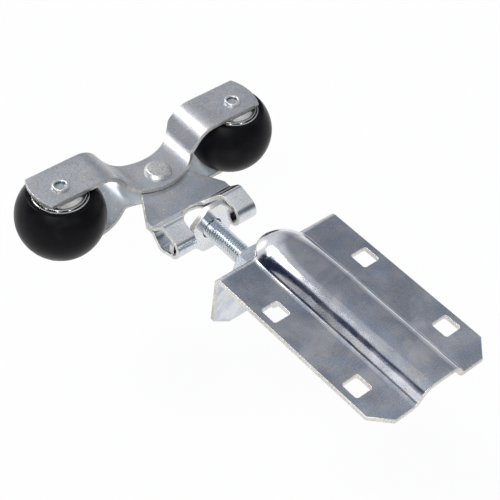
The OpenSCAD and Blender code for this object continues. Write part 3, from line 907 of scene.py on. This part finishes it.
bearing_steel = zinc("bearing_steel", tint=(0.64, 0.64, 0.65), warm=(0.70, 0.69, 0.66), rough=0.18,
                     wave=0.00002, speckle=0.2)
ball_steel = zinc("ball_steel", tint=(0.74, 0.74, 0.76), warm=(0.76, 0.75, 0.75), rough=0.10,
                  wave=0.00001, speckle=0.1)
spacer_steel = zinc("spacer_steel", tint=(0.48, 0.48, 0.50), warm=(0.52, 0.50, 0.48), rough=0.34)
wheel_plastic = plastic("wheel_plastic", colour=(0.004, 0.004, 0.005), rough=0.30)

# Pieces of sheet
door_plate().finish("door_plate", "door_plate", "plate_zinc", [plate_zinc, plate_edge])
hanger().finish("hanger", "hanger", "hanger_zinc", [hanger_zinc, plate_edge])
cross_plate().finish("cross_plate", "cross_plate", "hanger_zinc", [hanger_zinc, plate_edge])
strap(1).finish("upper_strap", "carriage", "strap_zinc", [strap_zinc, strap_edge])
# The lower strap takes the painted-light copy of the strap zinc
strap(-1).finish("lower_strap", "carriage", "strap_zinc", [painted_light_lower_zinc, strap_edge])

# Nuts, and the bolt as its head and its thread
load_nut_y = HOOK_Y - PLATE_T - NUT_H
lock_nut_y = HOOK_Y + LOCK_NUT_GAP
for node, y, turn in (("load_nut", load_nut_y, 0.0), ("lock_nut", lock_nut_y, LOCK_NUT_TURN)):
    bm = nut(math.radians(turn))
    place(bm, (0, y, BOLT_Z), "y")
    add_solid(node, bm, node, [fastener_zinc])
head, thread = turned(bolt_head(), False), threaded(BOLT_LEN)
for name, bm, node in (("bolt_head", head, None), ("bolt_thread", thread, "hanger_bolt")):
    place(bm, (0, LOOPS_Y + CROSS_T / 2, BOLT_Z), "y")
    mesh = finish_mesh(name, bm, BOLT_SMOOTH_BELOW)
    add_object(name + ".look", mesh, "bolt", [fastener_zinc], node)

# Rivets, wheels and bearings
bm = turned(pivot_rivet(), False)
place(bm, (0, PIVOT_Y, BOLT_Z))
add_solid("pivot_rivet", bm, "carriage", [rivet_steel])
for side, x in (("left", -AXLE_X), ("right", AXLE_X)):
    centre = (x, AXLE_Y, BOLT_Z)
    bm = turned(axle(), False, AXLE_STEPS)
    place(bm, centre)
    obj = add_solid(side + "_axle", bm, "carriage", [rivet_steel, painted_shade_bore_steel])
    # Faces inside a hollow end take the dark bore material, which is painted shade in the recess
    for face in obj.data.polygons:
        out = face.center - Vector(centre) * MM
        if out.xy.length < AXLE_HOLLOW_R * MM and abs(out.z) < ARM_TOP * MM:
            face.material_index = 1
    bm = turned(wheel(), True)
    place(bm, centre)
    add_solid(side + "_ball", bm, side + "_wheel", [wheel_plastic])
    for end, flip in (("upper", 1), ("lower", -1)):
        for kind, profile, body in (("cup", cup(), side + "_wheel"), ("cone", cone(), "carriage")):
            bm = turned(profile, True)
            place(bm, centre, flip=flip)
            add_solid(f"{side}_{end}_{kind}", bm, body, [bearing_steel])
        repaint(f"{side}_{end}_balls", ball_steel)
    repaint(side + "_spacer", spacer_steel)

# Camera, fitted to the photograph of FRAME_PX by FRAME_PX
RIGHT = Vector((0.7488597, -0.65612844, 0.09329858))
UP = Vector((0.42952464, 0.58772347, 0.68563088))
FORWARD = Vector((0.50469568, 0.47336729, -0.72194575))
CAMERA_AT = Vector((-312.894, -223.244, 432.905))
FOCAL_PX = 1339.36
FRAME_PX = 500.0
SENSOR_W = 36.0
CLIP_START = 0.01
CLIP_END = 100.0
cam = bpy.data.cameras.new("camera")
cam.sensor_width = SENSOR_W
cam.lens = FOCAL_PX / FRAME_PX * SENSOR_W
cam.clip_start, cam.clip_end = CLIP_START, CLIP_END
cam_obj = bpy.data.objects.new("camera", cam)
turn = Matrix((RIGHT, UP, -FORWARD)).transposed().to_4x4()
cam_obj.matrix_world = Matrix.Translation(CAMERA_AT * MM) @ turn
bpy.context.scene.collection.objects.link(cam_obj)
bpy.context.scene.camera = cam_obj
bpy.context.scene.view_settings.view_transform = "Standard"

# Floor, below everything that the turning hanger reaches
FLOOR_SIZE = 60000.0
FLOOR_CLEAR = 2.5
FLOOR_Z = BOLT_Z - AXLE_X - WHEEL_R - FLOOR_CLEAR
FLOOR_GLOW = 0.94
FLOOR_GREY = (0.86, 0.86, 0.86)
FLOOR_ROUGH = 0.9


def camera_or_mirror(tree):
    """1 for what the camera sees directly, in a reflection or through glass."""
    path = tree.nodes.new("ShaderNodeLightPath")
    seen = math_node(tree, "MAXIMUM", path.outputs["Is Camera Ray"], path.outputs["Is Glossy Ray"])
    return math_node(tree, "MAXIMUM", seen, path.outputs["Is Transmission Ray"])


def floor_white():
    """Nearly white where it is seen, with a rest of its grey that keeps the shadow; plain grey to light."""
    material, tree, bsdf = new_material("floor_white")
    bsdf.inputs["Base Color"].default_value = (*FLOOR_GREY, 1)
    bsdf.inputs["Roughness"].default_value = FLOOR_ROUGH
    bsdf.inputs["Specular IOR Level"].default_value = 0.0
    glow = tree.nodes.new("ShaderNodeEmission")
    blend = tree.nodes.new("ShaderNodeMixShader")
    factor = math_node(tree, "MULTIPLY", camera_or_mirror(tree), FLOOR_GLOW)
    link(tree, factor, blend.inputs["Fac"])
    link(tree, bsdf.outputs["BSDF"], blend.inputs[1])
    link(tree, glow.outputs["Emission"], blend.inputs[2])
    link(tree, blend.outputs["Shader"], tree.nodes["Material Output"].inputs["Surface"])
    return material


bm = bmesh.new()
bmesh.ops.create_grid(bm, x_segments=1, y_segments=1, size=FLOOR_SIZE * MM / 2)
bmesh.ops.translate(bm, vec=(0, 0, FLOOR_Z * MM), verts=bm.verts)
floor_mesh = bpy.data.meshes.new("floor")
bm.to_mesh(floor_mesh)
bm.free()
floor = bpy.data.objects.new("floor", floor_mesh)
bpy.context.scene.collection.objects.link(floor)
floor_mesh.materials.append(floor_white())

# Studio light: a grey room, over which soft round patches are laid one after another. A patch has its
# direction, the angles from it up to which it is full and at which it is gone, and its colour.
ROOM_GREY = (0.54, 0.555, 0.59)
NAVY = (0.012, 0.018, 0.05)
STUDIO = {
    "dark corner at the back": ((0.58, 0.60, 0.55), 8, 28, (0.24, 0.255, 0.295)),
    "pale wall behind the wheels": ((0.0, 0.95, 0.32), 15, 50, (0.85, 0.86, 0.88)),
    "low light on that wall": ((-0.08, 0.97, 0.18), 7, 16, (1.5, 1.5, 1.5)),
    "pale ceiling": ((0.40, -0.15, 0.90), 8, 26, (0.75, 0.76, 0.78)),
    "dark panel at the right": ((0.50, -0.72, 0.47), 6, 22, (0.16, 0.17, 0.20)),
    "soft box in front": ((-0.66, -0.35, 0.66), 10, 22, (4.5, 4.5, 4.6)),
    "low light at the left": ((-0.93, 0.33, 0.12), 4, 12, (1.2, 1.2, 1.2)),
    "dark frame at the left": ((-0.76, 0.39, 0.52), 5, 11, (0.06, 0.07, 0.11)),
    "low navy panel at the left": ((-0.84, 0.50, 0.30), 6.5, 12, NAVY),
    "navy panel next to it": ((-0.64, 0.64, 0.42), 8, 14, NAVY),
    "key soft box": ((-0.26, 0.64, 0.72), 7, 11, (12.5, 12.5, 12.7)),
    "dimmer end of the key": ((-0.46, 0.56, 0.69), 3, 8, (5.0, 5.0, 5.1)),
}
world = bpy.data.worlds.new("studio")
bpy.context.scene.world = world
world.use_nodes = True
tree = world.node_tree
direction = tree.nodes.new("ShaderNodeTexCoord").outputs["Generated"]
room = ROOM_GREY
for towards, full, gone, colour in STUDIO.values():
    dot = tree.nodes.new("ShaderNodeVectorMath")
    dot.operation = "DOT_PRODUCT"
    dot.inputs[1].default_value = Vector(towards).normalized()
    link(tree, direction, dot.inputs[0])
    fade = (math.cos(math.radians(gone)), math.cos(math.radians(full)))
    room = mixed(tree, ranged(tree, dot.outputs["Value"], fade), room, colour)
link(tree, room, tree.nodes["Background"].inputs["Color"])
